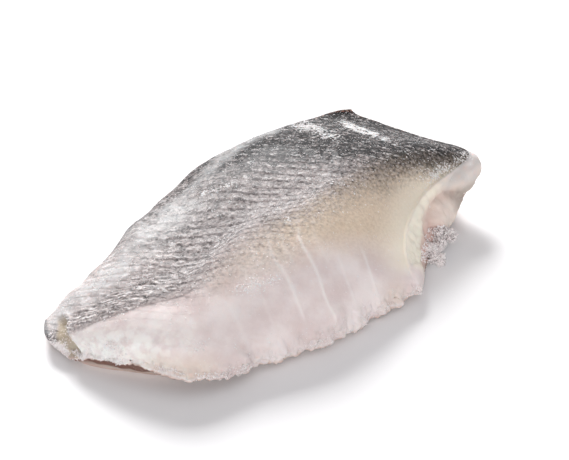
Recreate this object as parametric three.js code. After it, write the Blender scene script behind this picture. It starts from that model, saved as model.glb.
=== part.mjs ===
// Frozen sea bream fillet, skin side up: one solid with a domed skin, cut walls and a flat rest below.
// X runs from the tail to the head, Y from the belly to the back, Z up, all in millimetres.
import * as THREE from "three";
import { mergeVertices } from "three/addons/utils/BufferGeometryUtils.js";

// Driving dimensions.
const LENGTH = 137; // tail cut to the tip of the head cut
const WIDTH = 73; // belly edge to back edge, at the widest
const CROWN = 27; // highest point of the skin above the table

// Plan outline, seen from above: [share of LENGTH from the tail, share of WIDTH from the belly].
const TAIL_BELLY = [0.0102, 0.4567];
const TAIL_BACK = [0.0305, 0.6835];
const HEAD_BELLY = [0.6718, 0.0582];
const HEAD_BACK = [0.877, 0.974];
const BELLY_LINE = [[0.0661, 0.2476], [0.1614, 0.0325], [0.3014, 0.0237], [0.4303, 0.0], [0.5541, 0.0345]];
const BACK_LINE = [[0.1052, 0.672], [0.2355, 0.724], [0.3928, 0.91], [0.5449, 0.9656], [0.6921, 0.9853]];
const TAIL_LINE = [[0.0, 0.5701]];
// The head cut at the table and at the skin, from the belly to its tip, and from there to the back.
const FOOT_LINE = [[0.7529, 0.1864], [0.829, 0.2949], [0.8848, 0.3738], [0.9345, 0.433]];
const SKIN_LINE = [[0.6768, 0.1322], [0.7276, 0.2456], [0.829, 0.3689], [0.9914, 0.4724]];
const NAPE_LINE = [[0.963, 0.6598], [0.918, 0.8374]];
const CORNER_ROUND = [0.06, 0.13]; // rounding where the back meets the head cut, in u and in v

// Heights along the body, evenly spaced from tail to head, as shares of CROWN.
const RIDGE = [0.16, 0.442, 0.67, 0.79, 0.9, 0.97, 1.0, 0.9, 0.64];
const BACK_RIM = [0.09, 0.312, 0.52, 0.61, 0.7, 0.76, 0.78, 0.79, 0.79];
const BELLY_RIM = [0.13, 0.215, 0.26, 0.21, 0.17, 0.16, 0.15, 0.14, 0.14];

// Cross section: where the ridge runs, from 0 at the belly to 1 at the back, and the exponents of each flank.
const RIDGE_PLACE = 0.62;
const BELLY_FLANK = [2.0, 1.4];
const BACK_FLANK = [2.0, 1.5];

// Rounding of the two ends at their top and of all walls at their foot, and how far the underside lifts
// off the table towards its edges.
const TOP_ROUND = 1.6;
const FOOT_TUCK = 1.0;
const ROUNDED_SHARE = 0.4; // of a wall's height, at its top and again at its foot
const EDGE_LIFT = [1.7, 5.8, 3.8, 1.4, 1.1, 0.9, 1.6]; // along the body, evenly spaced from tail to head
const LIFT_REACH = 13;

// Lobes of muscle that swell out of the head cut, from the belly to the back, and the sunk blood line, which
// is the second: [place from belly to back, place from foot to skin, half width, half height, swell].
const LOBES = [
  [0.05, 0.5, 0.08, 0.5, 1.6],
  [0.22, 0.35, 0.1, 0.42, -0.4],
  [0.43, 0.36, 0.09, 0.36, 3.4],
  [0.565, 0.7, 0.085, 0.3, 3.6],
  [0.72, 0.5, 0.08, 0.46, 2.0],
  [0.88, 0.5, 0.09, 0.46, 1.6],
];
const LOBE_FULLNESS = 0.5; // 0.5 makes round domes, 1 makes flatter ones
const HEAD_CUT_DEPTH = 0.015; // share of the length that the swelling takes in

// Hollow of the tail cut, open below and roofed by the skin.
const TAIL_HOLLOW = 1.0;
const TAIL_HOLLOW_REACH = 0.06; // share of the length

// Ragged line of the belly cut: waves of [height, length, offset], fading out over RAGGED_REACH.
const RAGGED_WAVES = [[0.3, 17, 0], [0.21, 10, 1.9], [0.15, 6.6, 0.5]];
const RAGGED_REACH = 4;

// Grid of the box that is warped into the fillet, and how strongly its lines crowd towards the edges.
const ALONG = 56;
const ACROSS = 36;
const THROUGH = 10;
const CROWDING = 0.65;
const MERGE_DISTANCE = 1e-4;

const { clamp, lerp, smoothstep } = THREE.MathUtils;

// A smooth plan curve through outline points that are given as shares of LENGTH and WIDTH.
function planCurve(shares) {
  return new THREE.SplineCurve(shares.map(([x, y]) => new THREE.Vector2(x * LENGTH, y * WIDTH)));
}

// A smooth height along the body through evenly spaced values.
function heightCurve(values) {
  return new THREE.SplineCurve(values.map((value, i) => new THREE.Vector2(i, value)));
}

const belly = planCurve([TAIL_BELLY, ...BELLY_LINE, HEAD_BELLY]);
const back = planCurve([TAIL_BACK, ...BACK_LINE, HEAD_BACK]);
const tail = planCurve([TAIL_BELLY, ...TAIL_LINE, TAIL_BACK]);
const headFoot = planCurve([HEAD_BELLY, ...FOOT_LINE, ...NAPE_LINE, HEAD_BACK]);
const headSkin = planCurve([HEAD_BELLY, ...SKIN_LINE, ...NAPE_LINE, HEAD_BACK]);
const ridge = heightCurve(RIDGE);
const backRim = heightCurve(BACK_RIM);
const bellyRim = heightCurve(BELLY_RIM);
const edgeLift = heightCurve(EDGE_LIFT);

// Draws in the corner where the back meets the head cut, for u from tail to head and v from belly to back.
function roundCorner(u, v) {
  const nearU = clamp((u - 1 + CORNER_ROUND[0]) / CORNER_ROUND[0], 0, 1);
  const nearV = clamp((v - 1 + CORNER_ROUND[1]) / CORNER_ROUND[1], 0, 1);
  const away = Math.hypot(nearU, nearV);
  const pull = away > 0 ? 1 - Math.max(nearU, nearV) / away : 0;
  return [u - CORNER_ROUND[0] * nearU * pull, v - CORNER_ROUND[1] * nearV * pull];
}

// Point of the plan patch that the edge curves span, for u from tail to head, v from belly to back
// and w from the foot of the head cut to its skin.
function planPoint(boxU, boxV, w) {
  const [u, v] = roundCorner(boxU, boxV);
  const ruled = belly.getPoint(u).lerp(back.getPoint(u), v);
  const headCut = headFoot.getPoint(v).lerp(headSkin.getPoint(v), w);
  const crossed = tail.getPoint(v).lerp(headCut, u);
  const nearSide = belly.getPoint(0).lerp(belly.getPoint(1), u);
  const farSide = back.getPoint(0).lerp(back.getPoint(1), u);
  return ruled.add(crossed).sub(nearSide.lerp(farSide, v));
}

// Rounded rise from 0 at an edge to 1 at the ridge.
function flank(share, [bend, sharpness]) {
  return Math.pow(1 - Math.pow(1 - share, bend), 1 / sharpness);
}

// Height of the skin above the table.
function skinHeight(u, v) {
  const onBelly = v < RIDGE_PLACE;
  const rim = onBelly ? bellyRim : backRim;
  const rise = onBelly
    ? flank(v / RIDGE_PLACE, BELLY_FLANK)
    : flank((1 - v) / (1 - RIDGE_PLACE), BACK_FLANK);
  return CROWN * lerp(rim.getPoint(u).y, ridge.getPoint(u).y, rise);
}

// Height of the flesh underside: flat on the table, lifting a little towards its edges.
function underHeight(u, v) {
  const inFromEnds = Math.min(u, 1 - u) * LENGTH;
  const inFromSides = Math.min(v, 1 - v) * WIDTH;
  const inside = Math.min(inFromEnds, inFromSides);
  return edgeLift.getPoint(u).y * (1 - smoothstep(inside, 0, LIFT_REACH));
}

// Drop of a quarter circle, from 0 at its start to 1 at its end.
function quarterRound(share) {
  return 1 - Math.sqrt(1 - clamp(share, 0, 1) ** 2);
}

// How far the ends draw in at their rounded top, for w from the foot to the top.
function topRound(w) {
  return TOP_ROUND * quarterRound((w - 1 + ROUNDED_SHARE) / ROUNDED_SHARE);
}

// How far a wall draws in at its tucked foot.
function footTuck(w) {
  return FOOT_TUCK * quarterRound((ROUNDED_SHARE - w) / ROUNDED_SHARE);
}

// Swelling of the muscle lobes on the head cut.
function headSwell(u, v, w) {
  let total = 0;
  for (const [across, up, halfWidth, halfHeight, swell] of LOBES) {
    const away = ((v - across) / halfWidth) ** 2 + ((w - up) / halfHeight) ** 2;
    total += swell * Math.pow(clamp(1 - away, 0, 1), LOBE_FULLNESS);
  }
  return total * smoothstep(u, 1 - HEAD_CUT_DEPTH, 1);
}

// Depth of the hollow in the tail cut.
function tailHollow(u, v, w) {
  const nearTail = 1 - smoothstep(u, 0, TAIL_HOLLOW_REACH);
  return TAIL_HOLLOW * nearTail * Math.sin(Math.PI * v) * (1 - w);
}

// Uneven line of the belly cut.
function ragged(u, v) {
  const nearEdge = 1 - smoothstep(v * WIDTH, 0, RAGGED_REACH);
  const run = 2 * Math.PI * u * LENGTH;
  const waves = RAGGED_WAVES.map(([height, length, offset]) => height * Math.sin(run / length + offset));
  return nearEdge * waves.reduce((sum, wave) => sum + wave, 0);
}

// Maps a point of the unit box onto the fillet.
function place(u, v, w) {
  const tuck = footTuck(w);
  const shrunkU = lerp(u, 0.5, (2 * (tuck + topRound(w))) / LENGTH);
  const shrunkV = lerp(v, 0.5, (2 * tuck) / WIDTH);
  const plan = planPoint(shrunkU, shrunkV, w);
  const along = headFoot.getTangent(v);
  const swell = headSwell(u, v, w);
  const x = plan.x + swell * along.y + tailHollow(u, v, w);
  const y = plan.y - swell * along.x - ragged(u, v);
  return new THREE.Vector3(x, y, lerp(underHeight(u, v), skinHeight(u, v), w));
}

// Spreads grid lines so that they crowd towards both ends.
function crowdEnds(t) {
  const cosine = 0.5 - 0.5 * Math.cos(Math.PI * t);
  return lerp(t, cosine, CROWDING);
}

// The fillet: a finely divided box, warped into shape and set on the table with its middle at the origin.
function filletGeometry() {
  const box = new THREE.BoxGeometry(1, 1, 1, ALONG, ACROSS, THROUGH);
  box.deleteAttribute("normal");
  box.deleteAttribute("uv");
  const geometry = mergeVertices(box, MERGE_DISTANCE);
  const position = geometry.getAttribute("position");
  for (let i = 0; i < position.count; i++) {
    const u = crowdEnds(position.getX(i) + 0.5);
    const v = crowdEnds(position.getY(i) + 0.5);
    const point = place(u, v, position.getZ(i) + 0.5);
    position.setXYZ(i, point.x, point.y, point.z);
  }
  geometry.computeBoundingBox();
  const middle = geometry.boundingBox.getCenter(new THREE.Vector3());
  geometry.translate(-middle.x, -middle.y, -geometry.boundingBox.min.z);
  geometry.computeVertexNormals();
  return geometry;
}

const fish = new THREE.MeshStandardMaterial({ color: 0xbdb3ae, roughness: 0.35, metalness: 0 });

const fillet = new THREE.Mesh(filletGeometry(), fish);
fillet.name = "fillet";

const part = new THREE.Group();
part.add(fillet);

export default part;
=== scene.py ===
"""Looks of a frozen sea bream fillet, skin side up: scaled skin, pale belly, cut flesh and frost."""
import itertools
import logging
import math
from dataclasses import dataclass, field
from enum import Enum
from typing import Iterator, Sequence, Union

import bpy
import numpy as np
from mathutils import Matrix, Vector


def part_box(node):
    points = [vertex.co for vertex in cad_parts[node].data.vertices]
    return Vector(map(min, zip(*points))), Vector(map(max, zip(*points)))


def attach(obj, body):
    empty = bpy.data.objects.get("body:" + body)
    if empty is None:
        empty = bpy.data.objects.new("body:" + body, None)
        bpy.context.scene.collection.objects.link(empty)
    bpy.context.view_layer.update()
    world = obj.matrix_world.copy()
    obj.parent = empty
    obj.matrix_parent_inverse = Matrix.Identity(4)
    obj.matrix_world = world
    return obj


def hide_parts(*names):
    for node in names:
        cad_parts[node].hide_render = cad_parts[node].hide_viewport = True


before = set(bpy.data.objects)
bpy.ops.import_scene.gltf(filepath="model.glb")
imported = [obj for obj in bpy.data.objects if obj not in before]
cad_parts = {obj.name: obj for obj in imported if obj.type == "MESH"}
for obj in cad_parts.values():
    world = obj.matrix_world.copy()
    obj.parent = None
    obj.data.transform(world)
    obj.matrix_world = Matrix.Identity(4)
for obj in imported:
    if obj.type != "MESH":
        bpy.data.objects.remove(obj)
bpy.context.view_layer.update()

log = logging.getLogger("fillet")

Array = np.ndarray
Tint = tuple[int, int, int]
Wash = tuple[Tint, float]
Share = tuple[float, float]
Feed = Union[bpy.types.NodeSocket, float, Sequence[float]]

MM = 0.001
TINY = 1e-9
NODE = "fillet"
BODY = "root"


def lerp(low: Array, high: Array, share: Array) -> Array:
    """Goes from low to high as share goes from 0 to 1."""
    return low + (high - low) * share


def smoothstep(value: Array, low: float, high: float) -> Array:
    """Rises smoothly from 0 to 1.

    Args:
        value: Where to read the step.
        low: Where the rise starts.
        high: Where the rise ends. It may lie below low, and the step then falls.

    Returns:
        The height of the step at each value.
    """
    share = np.clip((value - low) / (high - low), 0.0, 1.0)
    return share * share * (3.0 - 2.0 * share)


def band(value: Array, ends: tuple) -> Array:
    """Rises smoothly from 0 to 1 between the first two ends, and falls between the last two."""
    return smoothstep(value, *ends[:2]) * smoothstep(value, *ends[3:1:-1])


def linear(tint: Tint) -> tuple[float, float, float, float]:
    """Turns a screen colour, 0 to 255 a channel, into the light that a shader wants.

    Args:
        tint: Red, green and blue as a screen shows them.

    Returns:
        Red, green, blue and an alpha of 1.
    """
    share = np.asarray(tint) / 255.0
    light = np.where(share <= 0.04045, share / 12.92, ((share + 0.055) / 1.055) ** 2.4)
    return (*light.tolist(), 1.0)


class SmoothNoise:
    """A smooth random field through space that is the same in every run."""

    cells = 32
    layer_shift = 7.3
    layer_scale = 1.5

    def __init__(self, seed: int) -> None:
        """Draws the field's values for one seed."""
        self.values = np.random.default_rng(seed).uniform(-1.0, 1.0, (self.cells,) * 3)

    def at(self, points: Array, size: float) -> Array:
        """Reads the field.

        Args:
            points: Places, three numbers each.
            size: How far apart the field's lumps are, in the unit of points.

        Returns:
            One value from -1 to 1 for each point.
        """
        grid = points / size
        low = np.floor(grid).astype(int)
        share = grid - low
        share = share * share * (3.0 - 2.0 * share)
        total = np.zeros(len(points))
        for corner in itertools.product((0, 1), repeat=3):
            weight = np.where(corner, share, 1.0 - share).prod(axis=1)
            i, j, k = ((low + corner) % self.cells).T
            total += weight * self.values[i, j, k]
        return total

    def rough(self, points: Array, size: float, layers: int = 3) -> Array:
        """Adds finer and weaker layers of the field.

        Args:
            points: Places, three numbers each.
            size: How far apart the largest lumps are.
            layers: How many layers, each half as large and half as strong as the last.

        Returns:
            One value for each point, about -1 to 1.
        """
        layer = (self.at(points + self.layer_shift * n, size / 2**n) / 2**n for n in range(layers))
        return sum(layer) / self.layer_scale


class Spline:
    """A smooth curve through points that are evenly spaced along its share."""

    def __init__(self, points: Sequence, scale: Sequence[float] | float = 1.0) -> None:
        """Keeps the points, each times scale."""
        self.points = np.asarray(points, float) * np.asarray(scale)

    def at(self, share: Array) -> Array:
        """Reads the curve.

        Args:
            share: How far along the curve, from 0 to 1.

        Returns:
            The curve's value or point for each share.
        """
        last = len(self.points) - 1
        place = np.clip(share, 0.0, 1.0) * last
        step = np.floor(place).astype(int)
        part = place - step
        before, start, end, after = (self.points[np.clip(step + n, 0, last)] for n in (-1, 0, 1, 2))
        if self.points.ndim == 2:
            part = part[..., None]
        leave = (end - before) / 2.0
        arrive = (after - start) / 2.0
        cubic = 2.0 * start - 2.0 * end + leave + arrive
        square = -3.0 * start + 3.0 * end - 2.0 * leave - arrive
        return cubic * part**3 + square * part**2 + leave * part + start


@dataclass
class FilletForm:
    """The fillet's outer form: a unit box, warped into shape. All sizes are in millimetres.

    A place is given by u from tail to head, v from belly to back and w from the underside to the skin.
    The plan lines hold shares of the length from the tail and of the width from the belly. A lobe of
    the head cut is its place v and w, its half width and half height in v and w, and its swell.
    """

    length: float = 137.0
    width: float = 73.0
    crown: float = 27.0
    tail_belly: Share = (0.0102, 0.4567)
    tail_back: Share = (0.0305, 0.6835)
    head_belly: Share = (0.6718, 0.0582)
    head_back: Share = (0.877, 0.974)
    belly_line: tuple = (
        (0.0661, 0.2476), (0.1614, 0.0325), (0.3014, 0.0237), (0.4303, 0.0), (0.5541, 0.0345),
    )
    back_line: tuple = (
        (0.1052, 0.672), (0.2355, 0.724), (0.3928, 0.91), (0.5449, 0.9656), (0.6921, 0.9853),
    )
    nape_line: tuple = ((0.963, 0.6598), (0.918, 0.8374))
    foot_line: tuple = ((0.7529, 0.1864), (0.829, 0.2949), (0.8848, 0.3738), (0.9345, 0.433))
    skin_line: tuple = ((0.6768, 0.1322), (0.7276, 0.2456), (0.829, 0.3689), (0.9914, 0.4724))
    tail_line: tuple = ((0.0, 0.5701),)
    ridge_heights: tuple = (0.16, 0.442, 0.67, 0.79, 0.9, 0.97, 1.0, 0.9, 0.64)
    back_heights: tuple = (0.09, 0.312, 0.52, 0.61, 0.7, 0.76, 0.78, 0.79, 0.79)
    belly_heights: tuple = (0.13, 0.215, 0.26, 0.21, 0.17, 0.16, 0.15, 0.14, 0.14)
    ridge_place: float = 0.62
    belly_flank: Share = (2.0, 1.4)
    back_flank: Share = (2.0, 1.5)
    top_round: float = 1.6
    foot_tuck: float = 1.0
    rounded_share: float = 0.4
    edge_lifts: tuple = (1.7, 5.8, 3.8, 1.4, 1.1, 0.9, 1.6)
    lift_reach: float = 13.0
    corner_round: Share = (0.06, 0.13)
    lobes: tuple = (
        (0.05, 0.5, 0.08, 0.5, 1.6),
        (0.22, 0.35, 0.1, 0.42, -0.4),
        (0.43, 0.36, 0.09, 0.36, 3.4),
        (0.565, 0.7, 0.085, 0.3, 3.6),
        (0.72, 0.5, 0.08, 0.46, 2.0),
        (0.88, 0.5, 0.09, 0.46, 1.6),
    )
    lobe_fullness: float = 0.5
    head_cut_depth: float = 0.015
    tail_hollow: float = 1.0
    tail_hollow_reach: float = 0.06
    ragged_waves: tuple = ((0.3, 17.0, 0.0), (0.21, 10.0, 1.9), (0.15, 6.6, 0.5))
    ragged_reach: float = 4.0

    def __post_init__(self) -> None:
        """Draws the plan lines and the height lines."""
        plan = (self.length, self.width)
        self.belly = Spline((self.tail_belly, *self.belly_line, self.head_belly), plan)
        self.back = Spline((self.tail_back, *self.back_line, self.head_back), plan)
        self.tail = Spline((self.tail_belly, *self.tail_line, self.tail_back), plan)
        self.foot = Spline((self.head_belly, *self.foot_line, *self.nape_line, self.head_back), plan)
        self.skin = Spline((self.head_belly, *self.skin_line, *self.nape_line, self.head_back), plan)
        self.ridge = Spline(self.ridge_heights, self.crown)
        self.back_rim = Spline(self.back_heights, self.crown)
        self.belly_rim = Spline(self.belly_heights, self.crown)
        self.lift = Spline(self.edge_lifts)

    def plan_point(self, u: Array, v: Array, w: Array) -> Array:
        """Finds the place in plan of the patch that the edge lines span.

        Args:
            u: From tail to head.
            v: From belly to back.
            w: From the underside to the skin.

        Returns:
            Two numbers for each place.
        """
        u, v = self._round_corner(u, v)
        along, across, through = u[..., None], v[..., None], w[..., None]
        ruled = lerp(self.belly.at(u), self.back.at(u), across)
        head = lerp(self.foot.at(v), self.skin.at(v), through)
        crossed = lerp(self.tail.at(v), head, along)
        near = lerp(self.belly.points[0], self.belly.points[-1], along)
        far = lerp(self.back.points[0], self.back.points[-1], along)
        return ruled + crossed - lerp(near, far, across)

    def skin_height(self, u: Array, v: Array) -> Array:
        """Gives the height of the skin above the table.

        Args:
            u: From tail to head.
            v: From belly to back.

        Returns:
            The heights in millimetres.
        """
        belly_rise = self._flank(v / self.ridge_place, self.belly_flank)
        back_rise = self._flank((1.0 - v) / (1.0 - self.ridge_place), self.back_flank)
        on_belly = lerp(self.belly_rim.at(u), self.ridge.at(u), belly_rise)
        on_back = lerp(self.back_rim.at(u), self.ridge.at(u), back_rise)
        return np.where(v < self.ridge_place, on_belly, on_back)

    def under_height(self, u: Array, v: Array) -> Array:
        """Gives the height of the underside, which lifts off the table towards its edges.

        Args:
            u: From tail to head.
            v: From belly to back.

        Returns:
            The heights in millimetres.
        """
        from_ends = np.minimum(u, 1.0 - u) * self.length
        from_sides = np.minimum(v, 1.0 - v) * self.width
        return self.lift.at(u) * smoothstep(np.minimum(from_ends, from_sides), self.lift_reach, 0.0)

    def place(self, u: Array, v: Array, w: Array) -> Array:
        """Maps places of the unit box onto the fillet.

        Args:
            u: From tail to head.
            v: From belly to back.
            w: From the underside to the skin.

        Returns:
            Three numbers for each place, in millimetres, with the tail's end and the belly's edge at 0.
        """
        tuck = self.foot_tuck * self._quarter_round((self.rounded_share - w) / self.rounded_share)
        top = self.top_round * self._quarter_round((w - 1.0 + self.rounded_share) / self.rounded_share)
        shrunk_u = lerp(u, 0.5, 2.0 * (tuck + top) / self.length)
        plan = self.plan_point(shrunk_u, lerp(v, 0.5, 2.0 * tuck / self.width), w)
        step = 1e-4
        along = self.foot.at(v + step) - self.foot.at(v - step)
        along /= np.linalg.norm(along, axis=-1, keepdims=True)
        swell = self.head_swell(u, v, w)
        near_tail = smoothstep(u, self.tail_hollow_reach, 0.0)
        hollow = self.tail_hollow * near_tail * np.sin(np.pi * v) * (1.0 - w)
        x = plan[..., 0] + swell * along[..., 1] + hollow
        y = plan[..., 1] - swell * along[..., 0] - self._ragged(u, v)
        z = lerp(self.under_height(u, v), self.skin_height(u, v), w)
        return np.stack([x, y, z], axis=-1)

    def _round_corner(self, u: Array, v: Array) -> tuple[Array, Array]:
        """Draws in the corner where the back meets the head cut.

        Args:
            u: From tail to head.
            v: From belly to back.

        Returns:
            The moved u and v.
        """
        reach_u, reach_v = self.corner_round
        near_u = np.clip((u - 1.0 + reach_u) / reach_u, 0.0, 1.0)
        near_v = np.clip((v - 1.0 + reach_v) / reach_v, 0.0, 1.0)
        away = np.hypot(near_u, near_v)
        straight = np.maximum(near_u, near_v) / np.maximum(away, TINY)
        pull = np.where(away > 0.0, 1.0 - straight, 0.0)
        return u - reach_u * near_u * pull, v - reach_v * near_v * pull

    @staticmethod
    def _flank(share: Array, bends: Share) -> Array:
        """Rises roundly from 0 at an edge to 1 at the ridge."""
        bend, sharpness = bends
        return np.power(1.0 - np.power(1.0 - np.clip(share, 0.0, 1.0), bend), 1.0 / sharpness)

    @staticmethod
    def _quarter_round(share: Array) -> Array:
        """Drops like a quarter circle, from 0 at its start to 1 at its end."""
        return 1.0 - np.sqrt(1.0 - np.clip(share, 0.0, 1.0) ** 2)

    def head_swell(self, u: Array, v: Array, w: Array) -> Array:
        """Gives how far the muscle lobes swell out of the head cut.

        Args:
            u: From tail to head.
            v: From belly to back.
            w: From the underside to the skin.

        Returns:
            The swelling in millimetres.
        """
        total = np.zeros(np.shape(u))
        for across, up, half_across, half_up, swell in self.lobes:
            away = ((v - across) / half_across) ** 2 + ((w - up) / half_up) ** 2
            total = total + swell * np.clip(1.0 - away, 0.0, 1.0) ** self.lobe_fullness
        return total * smoothstep(u, 1.0 - self.head_cut_depth, 1.0)

    def _ragged(self, u: Array, v: Array) -> Array:
        """Gives the uneven line of the belly cut.

        Args:
            u: From tail to head.
            v: From belly to back.

        Returns:
            How far each place moves outwards, in millimetres.
        """
        run = 2.0 * np.pi * u * self.length
        waves = sum(
            height * np.sin(run / span + offset) for height, span, offset in self.ragged_waves
        )
        return waves * smoothstep(v * self.width, self.ragged_reach, 0.0)


class Face(Enum):
    """The six faces of the box that the fillet is warped from."""

    SKIN = "skin"
    UNDERSIDE = "underside"
    BELLY = "belly"
    BACK = "back"
    TAIL = "tail"
    HEAD = "head"


@dataclass
class BoxGrid:
    """A grid on the six faces of a unit box, fine on the skin and half as fine on the underside."""

    along: int = 320
    across: int = 176
    through: int = 26
    crowding: float = 0.2

    def __post_init__(self) -> None:
        """Numbers the grid's points and keeps their places in the box."""
        used = np.zeros((self.along + 1, self.across + 1, self.through + 1), bool)
        used[:, :, -1] = True
        used[::2, ::2, 0] = True
        used[[0, -1]] = True
        used[:, [0, -1]] = True
        self.index = np.full(used.shape, -1)
        self.index[used] = np.arange(used.sum())
        self.steps = np.argwhere(used)
        self.u = self._spread(self.steps[:, 0] / self.along)
        self.v = self._spread(self.steps[:, 1] / self.across)
        self.w = self.steps[:, 2] / self.through

    def _spread(self, share: Array) -> Array:
        """Crowds grid lines a little towards both ends."""
        return lerp(share, 0.5 - 0.5 * np.cos(np.pi * share), self.crowding)

    def faces(self) -> Iterator[tuple[Face, list[list[int]]]]:
        """Lists the faces' corners, counter-clockwise seen from outside.

        Returns:
            Each face of the box with its cells, as lists of point numbers.
        """
        index = self.index
        yield Face.SKIN, self._cells(index[:, :, -1])
        yield Face.UNDERSIDE, self._coarse_cells(index[:, :, 0])
        yield Face.BELLY, self._cells(index[:, 0, :])
        yield Face.BACK, self._cells(index[::-1, -1, :])
        yield Face.TAIL, self._cells(index[0, ::-1, :])
        yield Face.HEAD, self._cells(index[-1, :, :])

    @staticmethod
    def _cells(sheet: Array) -> list[list[int]]:
        """Lists the four corners of each cell of a sheet of point numbers."""
        corners = (sheet[:-1, :-1], sheet[1:, :-1], sheet[1:, 1:], sheet[:-1, 1:])
        return np.stack(corners, axis=-1).reshape(-1, 4).tolist()

    @staticmethod
    def _coarse_cells(sheet: Array) -> list[list[int]]:
        """Lists the corners of each cell between every second line of a sheet of point numbers.

        Args:
            sheet: Point numbers, and -1 where the grid has no point.

        Returns:
            The corners of each cell, along the rim with the points in between.
        """
        walk = ((0, 0), (0, 1), (0, 2), (1, 2), (2, 2), (2, 1), (2, 0), (1, 0))
        cells = []
        for i in range(0, sheet.shape[0] - 1, 2):
            for j in range(0, sheet.shape[1] - 1, 2):
                corners = [int(sheet[i + di, j + dj]) for di, dj in walk]
                cells.append([corner for corner in corners if corner >= 0])
        return cells


@dataclass
class Surface:
    """The fillet's mesh points before their relief, in millimetres, and what features need of them.

    The rims hold the w between which the skin gives way to bare flesh on each wall.
    """

    u: Array
    v: Array
    w: Array
    points: Array
    normals: Array
    across: Array
    noise: SmoothNoise
    head_rim: Share = (1.0, 0.96)
    head_corner: Share = (0.06, 0.15)
    back_rim: Share = (0.8, 0.55)
    tail_rim: Share = (0.55, 0.35)
    belly_rim: Share = (0.35, 0.05)

    def on_wall(self) -> Array:
        """Gives 1 on the bare cuts and the underside, and 0 on the skin with its rolled edges.

        Returns:
            One value for each point.
        """
        head = (self.u == 1.0) * smoothstep(self.w, *self.head_rim)
        head = head * smoothstep(self.v, *self.head_corner)
        back = (self.v == 1.0) * smoothstep(self.w, *self.back_rim)
        tail = (self.u == 0.0) * smoothstep(self.w, *self.tail_rim)
        belly = (self.v == 0.0) * smoothstep(self.w, *self.belly_rim)
        return np.max([head, back, tail, belly, self.w == 0.0], axis=0)

    def on_skin(self) -> Array:
        """Gives 1 on the skin with its rolled edges, and 0 on the bare cuts and the underside."""
        return 1.0 - self.on_wall()

    def lumps(self, size: float, shift: float = 0.0) -> Array:
        """Gives smooth lumps of a size. The shift keeps one use of them apart from the next."""
        return self.noise.at(self.points + shift, size)

    def rough(self, size: float, shift: float) -> Array:
        """Gives rough lumps of a size. The shift keeps one use of them apart from the next."""
        return self.noise.rough(self.points + shift, size)

    def patch(self, ends: tuple) -> Array:
        """Rises from 0 to 1 between the first two ends in v, and between the last two in u."""
        return smoothstep(self.v, *ends[:2]) * smoothstep(self.u, *ends[2:])

    def nearest(self, u: float, v: float) -> Array:
        """Finds the point of the skin at a place."""
        return self.points[np.argmin((self.u - u) ** 2 + (self.v - v) ** 2 + (self.w - 1.0) ** 2)]

    def beside(self, start: Share, end: Share) -> Array:
        """Measures how far each point is from a straight line over the skin.

        Args:
            start: Where the line starts, in u and v.
            end: Where it ends.

        Returns:
            The distances in millimetres.
        """
        first = self.nearest(*start)
        run = self.nearest(*end) - first
        share = np.clip((self.points - first) @ run / (run @ run), 0.0, 1.0)
        return np.linalg.norm(self.points - first - share[:, None] * run, axis=1)


class Feature:
    """One thing that shows on the fillet's surface."""

    def relief(self, at: Surface) -> Array:
        """Gives how far the feature raises each point, in millimetres."""
        return np.zeros(len(at.u))

    def masks(self, at: Surface) -> dict[str, Array]:
        """Gives the feature's share of each point, by the name of the mask that the finish reads."""
        return {}


@dataclass
class Undulation(Feature):
    """The soft unevenness of flesh that froze as it lay, kept off the flat rest."""

    broad: float = 18.0
    broad_height: float = 0.35
    fine: float = 6.0
    fine_height: float = 0.14
    rest_fade: Share = (0.05, 0.4)

    def relief(self, at: Surface) -> Array:
        """Raises two sizes of lumps.

        Args:
            at: The surface.

        Returns:
            How far each point is raised, in millimetres.
        """
        lumps = self.broad_height * at.lumps(self.broad)
        lumps += self.fine_height * at.lumps(self.fine, shift=40.0)
        return lumps * smoothstep(at.w, *self.rest_fade)


@dataclass
class BackRim(Feature):
    """Humps and notches along the back edge: place u, height and half length in millimetres."""

    humps: tuple = (
        (0.05, -0.5, 3.0),
        (0.1, 0.5, 5.0),
        (0.165, -0.7, 3.0),
        (0.235, -0.5, 4.0),
        (0.345, 1.9, 6.0),
        (0.5, -1.3, 7.0),
    )
    reach: Share = (0.72, 0.96)

    def relief(self, at: Surface) -> Array:
        """Raises the humps where the skin comes near the back edge.

        Args:
            at: The surface.

        Returns:
            How far each point is raised, in millimetres.
        """
        total = np.zeros(len(at.u))
        for place, height, half in self.humps:
            away = (at.points[:, 0] - at.nearest(place, 1.0)[0]) / half
            total += height * np.exp(-(away**2))
        return total * smoothstep(at.v, *self.reach) * at.on_skin()


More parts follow.
